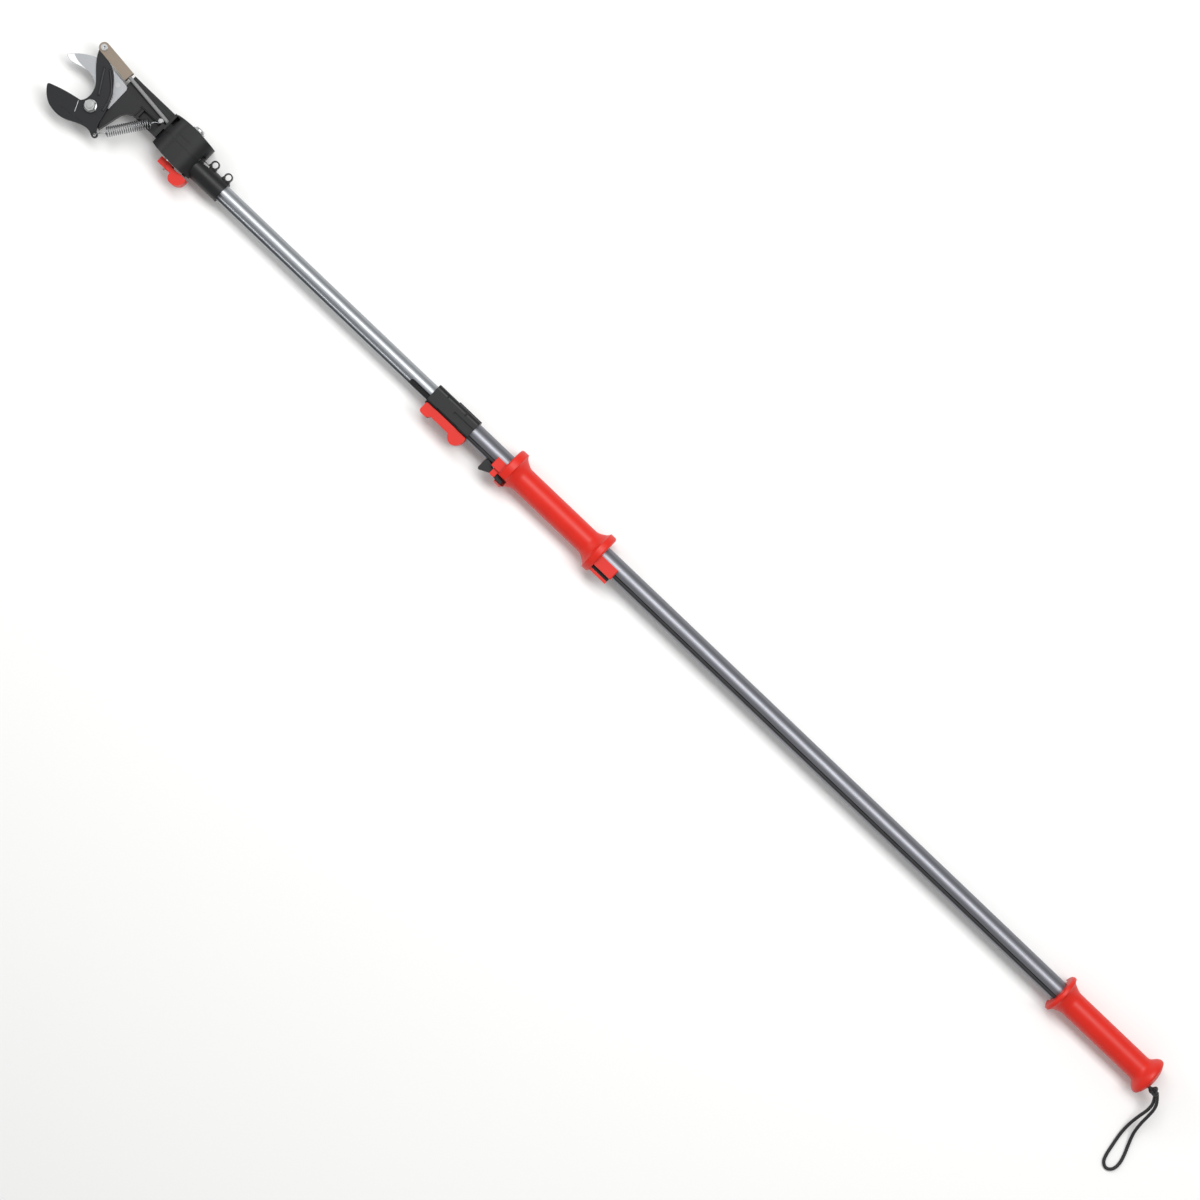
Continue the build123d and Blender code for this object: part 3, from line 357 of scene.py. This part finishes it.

# %% [markdown]
# ## Return spring
# The spring is music wire wound in a close coil, with a hook bent at each end. A helix follows
# a rule, so Geometry Nodes make it: a spiral curve gets a round profile.


# %% Coil tree
def coil_tree():
    tree = bpy.data.node_groups.new("spring coil", "GeometryNodeTree")
    for label, kind in (("Turns", "Float"), ("Coil radius", "Float"), ("Wire radius", "Float"),
                        ("Length", "Float"), ("Finish", "Material")):
        tree.interface.new_socket(label, in_out="INPUT", socket_type="NodeSocket" + kind)
    tree.interface.new_socket("Geometry", in_out="OUTPUT", socket_type="NodeSocketGeometry")
    sizes = add(tree, "NodeGroupInput")
    spiral = add(tree, "GeometryNodeCurveSpiral", {
        "Resolution": 28, "Rotations": (sizes, "Turns"), "Start Radius": (sizes, "Coil radius"),
        "End Radius": (sizes, "Coil radius"), "Height": (sizes, "Length"),
    })
    wire = add(tree, "GeometryNodeCurvePrimitiveCircle", {"Resolution": 12,
                                                          "Radius": (sizes, "Wire radius")})
    tube = add(tree, "GeometryNodeCurveToMesh", {"Curve": (spiral, "Curve"),
                                                 "Profile Curve": (wire, "Curve"),
                                                 "Fill Caps": True})
    smooth = add(tree, "GeometryNodeSetShadeSmooth", {"Geometry": (tube, "Mesh")})
    solid = add(tree, "GeometryNodeRealizeInstances", {"Geometry": (smooth, "Geometry")})
    painted = add(tree, "GeometryNodeSetMaterial", {"Geometry": (solid, "Geometry"),
                                                    "Material": (sizes, "Finish")})
    add(tree, "NodeGroupOutput", {"Geometry": (painted, "Geometry")})
    return tree


def from_tree(tree, name, values):
    """Evaluates a tree with named inputs, and returns the result as a plain mesh object."""
    carrier = bpy.data.objects.new("carrier", bpy.data.meshes.new("carrier"))
    scene.collection.objects.link(carrier)
    modifier = carrier.modifiers.new("nodes", "NODES")
    modifier.node_group = tree
    for item in tree.interface.items_tree:
        if item.in_out == "INPUT" and item.name in values:
            modifier[item.identifier] = values[item.name]
    return as_mesh(carrier, name)


# %% Smooth tubes along a route
def route_points(points_mm, cyclic=False):
    """Evenly smooth points of a NURBS curve with these control points, in metres."""
    curve = bpy.data.curves.new("route", "CURVE")
    curve.dimensions = "3D"
    curve.resolution_u = 16
    spline = curve.splines.new("NURBS")
    spline.points.add(len(points_mm) - 1)
    for point, place in zip(spline.points, points_mm):
        point.co = (place[0] * MM, place[1] * MM, place[2] * MM, 1.0)
    spline.order_u = 3
    spline.use_endpoint_u = not cyclic
    spline.use_cyclic_u = cyclic
    holder = bpy.data.objects.new("route", curve)
    scene.collection.objects.link(holder)
    bpy.context.view_layer.update()
    line = bpy.data.meshes.new_from_object(holder)
    path = [vertex.co.copy() for vertex in line.vertices]
    bpy.data.objects.remove(holder)
    bpy.data.meshes.remove(line)
    return path


def resampled(path, step):
    """Points a fixed distance apart along a path."""
    result = [path[0].copy()]
    left = step
    for a, b in zip(path, path[1:]):
        length = (b - a).length
        done = 0.0
        while length - done >= left:
            done += left
            result.append(a.lerp(b, done / length))
            left = step
        left -= length - done
    if (result[-1] - path[-1]).length > step * 0.3:
        result.append(path[-1].copy())
    return result


BRAID_DEPTH = 0.14


def tube_mesh(name, path, radius, sides, height=None):
    """A closed tube along a path; height(angle, distance) lifts its surface, for a braid."""
    shell = bmesh.new()
    strand = shell.verts.layers.float.new("strand")
    tangent = (path[1] - path[0]).normalized()
    side = tangent.orthogonal().normalized()
    rings = []
    distance = 0.0
    for i, place in enumerate(path):
        ahead = path[min(i + 1, len(path) - 1)]
        behind = path[max(i - 1, 0)]
        new_tangent = (ahead - behind).normalized()
        side = tangent.rotation_difference(new_tangent) @ side
        tangent = new_tangent
        other = tangent.cross(side)
        if i:
            distance += (place - path[i - 1]).length
        ring = []
        for k in range(sides):
            angle = 2 * pi * k / sides
            lift = height(angle, distance) if height else 1.0
            out = radius * (1.0 - BRAID_DEPTH * (1.0 - lift)) if height else radius
            vertex = shell.verts.new(place + out * (cos(angle) * side + sin(angle) * other))
            # The strand height is kept on each vertex, and the braid's material paints shade and
            # highlight from it.
            vertex[strand] = lift
            ring.append(vertex)
        rings.append(ring)
    for a, b in zip(rings, rings[1:]):
        for k in range(sides):
            n = (k + 1) % sides
            shell.faces.new((a[k], a[n], b[n], b[k]))
    shell.faces.new(list(reversed(rings[0])))
    shell.faces.new(rings[-1])
    return object_of(shell, name)


def joined(name, pieces):
    """One object from several meshes."""
    shell = bmesh.new()
    for piece in pieces:
        shell.from_mesh(piece.data)
        bpy.data.objects.remove(piece)
    return object_of(shell, name)


# %% Spring on its anchor
WIRE_R, COIL_R, WIRE_SIDES = 0.72, 6.5, 12
SPRING_Z = 30.95
anchor = Vector((1645.5, -11.6, SPRING_Z)) * MM
tail = Vector((1692.0, 55.2, SPRING_Z)) * MM
spring_way = (tail - anchor).normalized()
spring_side = Vector((-spring_way.y, spring_way.x, 0.0))
coil_start, coil_length, coil_turns = 14.0, 52.0, 20.0
coil_end = coil_start + coil_length
coil_r = COIL_R - WIRE_R


def on_spring(along, side=0.0, height=0.0):
    """Point beside the spring's axis, in millimetres from the anchor."""
    return anchor / MM + along * spring_way + side * spring_side + Vector((0, 0, height))


coil = from_tree(coil_tree(), "coil", {
    "Turns": coil_turns, "Coil radius": coil_r * MM, "Wire radius": WIRE_R * MM,
    "Length": coil_length * MM, "Finish": spring_steel_with_painted_shade,
})
stand = Matrix((spring_side, Vector((0, 0, 1)), spring_way)).transposed().to_4x4()
coil.data.transform(Matrix.Translation(on_spring(coil_start) * MM) @ stand)
head_end = tube_mesh("hook", route_points([
    on_spring(coil_start, coil_r), on_spring(coil_start - 1, coil_r * 0.5, 2.4),
    on_spring(coil_start - 2, 0, 1.0), on_spring(6.0), on_spring(2.0, 2.4), on_spring(-1.2, 2.7),
    on_spring(-2.9, 1.2), on_spring(-2.9, -1.6), on_spring(-0.6, -2.7), on_spring(2.6, -2.4),
]), WIRE_R * MM, WIRE_SIDES)
tail_at = (tail - anchor).length / MM
tail_end = tube_mesh("hook", route_points([
    on_spring(coil_end, coil_r), on_spring(coil_end + 1, coil_r * 0.5, 1.6),
    on_spring(coil_end + 2, 0, 2.2), on_spring(coil_end + 7, 0, 3.2),
    on_spring(tail_at - 1.6, 0, 3.4), on_spring(tail_at + 0.2, 0, 3.0),
    on_spring(tail_at, 0, 0.6), on_spring(tail_at, 0, -5.0),
]), WIRE_R * MM, WIRE_SIDES)
spring = joined("return_spring_wire", [coil, head_end, tail_end])
spring.data.materials.append(spring_steel_with_painted_shade)
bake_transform(spring)
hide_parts("return_spring", "spring_tail_hook")
print("spring turns", coil_turns, "faces", len(spring.data.polygons))

# %% [markdown]
# ## Pressed and ground details
# Two pressed ribs run along the hook lever's arm, between the clevis and the pivot, and a
# crease and a scribed line lie beyond the pivot. The frame has a moulded ridge beside the rope
# and a short rib across it, and the blade has a ground bevel along its cutting edge.

# %% Ribs and ridge
HOOK_TOP, FRAME_TOP, BLADE_TOP = 31.25, 26.3, 26.5
RIB_STEP, RIB_SIDES = 1.2, 12
BEVEL_DEPTH, BEVEL_PROUD = 0.3, 0.04


def rib(node, name, points, height, radius):
    """A half-round rib that lies in the top face of a part."""
    route = [(x, y, height) for x, y in points]
    piece = tube_mesh(name, resampled(route_points(route), RIB_STEP * MM), radius * MM,
                      RIB_SIDES)
    return finished(piece, FINISHES[slot_of[node]], node)


rib("hook_lever", "rib_outer", [(1739, -12), (1732.5, -1), (1725, 11), (1720.8, 18)],
    HOOK_TOP - 1.0, 2.0)
rib("hook_lever", "rib_inner", [(1732.5, -14.2), (1716, -1), (1707, 12.4), (1704.5, 28)],
    HOOK_TOP - 1.0, 2.0)
rib("hook_lever", "hook_crease", [(1744.5, 58.0), (1728, 55.6), (1713, 54.0)],
    HOOK_TOP - 0.3, 0.5)
scribed = rib("hook_lever", "scribed_line", [(1734, 38.6), (1731, 44.8), (1728.2, 51.4)],
              HOOK_TOP - 0.1, 0.25)
scribed.data.materials[0] = honed_steel_with_painted_glint
rib("head_frame", "rope_ridge", [(1644, -8.6), (1658, -8.4), (1676, -8.0)], FRAME_TOP - 0.2, 1.2)
rib("head_frame", "plate_rib", [(1673, -6.6), (1673.4, 0), (1674, 5.6)], FRAME_TOP - 0.2, 0.9)

# %% Ground bevel of the blade
# The ground edge is a flat strip; its near-white finish is partly a painted highlight for the
# light that a sloped ground edge catches.
bevel_outer = [(1783.0, 7.9), (1778.5, 9.6), (1774.0, 10.1), (1767.0, 8.4), (1760.0, 6.1)]
bevel_inner = [(1777.4, 1.5), (1772.5, 3.4), (1767.5, 4.7), (1760.5, 5.2), (1753.0, 4.9)]
edge = bmesh.new()
levels = []
for height in (BLADE_TOP - BEVEL_DEPTH, BLADE_TOP + BEVEL_PROUD):
    levels.append([[edge.verts.new(Vector((x, y, height)) * MM) for x, y in side]
                   for side in (bevel_outer, bevel_inner)])
(low_out, low_in), (top_out, top_in) = levels
for i in range(len(bevel_outer) - 1):
    edge.faces.new((top_out[i], top_in[i], top_in[i + 1], top_out[i + 1]))
    edge.faces.new((low_out[i], low_out[i + 1], low_in[i + 1], low_in[i]))
    edge.faces.new((low_out[i], top_out[i], top_out[i + 1], low_out[i + 1]))
    edge.faces.new((low_in[i + 1], top_in[i + 1], top_in[i], low_in[i]))
edge.faces.new((low_out[0], low_in[0], top_in[0], top_out[0]))
edge.faces.new((top_out[-1], top_in[-1], low_in[-1], low_out[-1]))
bmesh.ops.recalc_face_normals(edge, faces=edge.faces)
blade_bevel = object_of(edge, "blade_bevel", smooth=False)
finished(blade_bevel, honed_steel_with_painted_glint, "blade")

# %% [markdown]
# ## Ropes
# The ropes are braided: strands wind round the core in two directions and pass over and under
# each other. The braid is modelled in the surface, as diamonds of raised strands, so it is part
# of the mesh itself.


# %% Braid
def braid_height(plaits, pitch):
    """Height of a braid's surface, from 0 between strands to 1 on top of one."""
    def height(angle, distance):
        u = plaits * angle / (2 * pi)
        v = plaits * distance / pitch
        a = (u + v) % 1.0
        b = (u - v) % 1.0
        over = sin(pi * (u + v)) ** 2 * (int((u - v) // 1.0) % 2)
        under = sin(pi * (u - v)) ** 2 * ((int((u + v) // 1.0) + 1) % 2)
        return max(over, under, 0.35 * (sin(pi * a) * sin(pi * b)) ** 2)
    return height


def rope_of(name, path, radius_mm, plaits=8, pitch_mm=11.0, step_mm=0.55, sides=32):
    """A braided rope along a path, without its finish."""
    path = resampled(path, step_mm * MM)
    return tube_mesh(name, path, radius_mm * MM, sides, braid_height(plaits, pitch_mm * MM))


# %% Pull rope in the groove
GROOVE = radians(41.0)
ROPE_AT, PULL_R = 12.5, 2.4


def in_groove(x, radius):
    """Point over the tube's groove, this far from the pole's axis."""
    return Vector((x, radius * sin(GROOVE), POLE_Z / MM + radius * cos(GROOVE))) * MM


pull_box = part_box("pull_rope")
pull = rope_of("pull_rope_braid", [in_groove(pull_box[0][0] / MM, ROPE_AT),
                                   in_groove(pull_box[1][0] / MM, ROPE_AT)],
               PULL_R, step_mm=0.9, sides=24)
finished(pull, black_braid, "pull_rope")
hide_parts("pull_rope")

# %% Rope at the head
# The rope lies on the line from the knuckle's mouth to the clevis rivet.
HEAD_R, ROPE_Z = 2.3, 28.95
MOUTH_X, MOUTH_Y = 1626.0, -14.7
RIVET_X, RIVET_Y = 1755.0, -28.8
head_entry = Vector((1626.2, MOUTH_Y, ROPE_Z)) * MM
head_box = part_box("head_rope")
clevis_end = Vector((head_box[1][0], 0, ROPE_Z * MM))
slope = (MOUTH_Y - RIVET_Y) / (MOUTH_X - RIVET_X)
clevis_end.y = (MOUTH_Y + (clevis_end.x / MM - MOUTH_X) * slope) * MM
head_rope = rope_of("head_rope_braid", [clevis_end, head_entry], HEAD_R)
finished(head_rope, grey_braid, "head_rope")
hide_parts("head_rope")
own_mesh(head_rope)

# %% [markdown]
# ## Wrist loop
# The pull rope ends in a knot behind the end grip, and a loop of thinner braid is tied into it.
# The loop is limp and lies on the table, so its route is a list of given points, and one smooth
# curve follows them.

# %% Loop
LOOP_R, LOOP_PITCH = 2.2, 9.0
loop_route = [
    (-21.5, 10.5, 32.0), (-28.0, 18.0, 28.0), (-30.2, 29.0, 22.0), (-29.0, 42.0, 14.5),
    (-28.6, 56.0, 7.0), (-29.6, 72.0, 2.9), (-32.4, 88.0, 2.3), (-35.0, 102.6, 2.3),
    (-38.6, 111.8, 2.3), (-46.2, 115.4, 2.3), (-53.2, 110.8, 2.3), (-54.8, 101.0, 2.3),
    (-51.8, 89.0, 2.3), (-45.8, 75.0, 2.9), (-39.8, 61.0, 7.0), (-36.8, 47.0, 14.0),
    (-35.6, 34.0, 21.5), (-33.6, 21.0, 28.5), (-26.6, 11.6, 34.4), (-20.6, 6.4, 35.0),
]
loop_line = route_points(loop_route)
loop = rope_of("wrist_loop_braid", loop_line, LOOP_R, pitch_mm=LOOP_PITCH)
finished(loop, black_braid, "wrist_loop")
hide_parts("wrist_loop")


# %% Knot
def overhand(centre, size, rope_r):
    """A tight overhand knot: a trefoil line with the rope's thickness."""
    steps = 72
    points = []
    for i in range(steps + 1):
        t = 2 * pi * i / steps
        points.append(Vector(centre) * MM + size * MM * Vector((
            1.12 * (sin(t) + 2 * sin(2 * t)) / 3,
            (cos(t) - 2 * cos(2 * t)) / 3,
            -0.75 * sin(3 * t),
        )))
    return rope_of("wrist_knot_braid", points, rope_r, pitch_mm=LOOP_PITCH)


knot = overhand((-16.9, 7.9, 34.1), 4.3, LOOP_R)
finished(knot, black_braid, "wrist_knot")
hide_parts("wrist_knot")
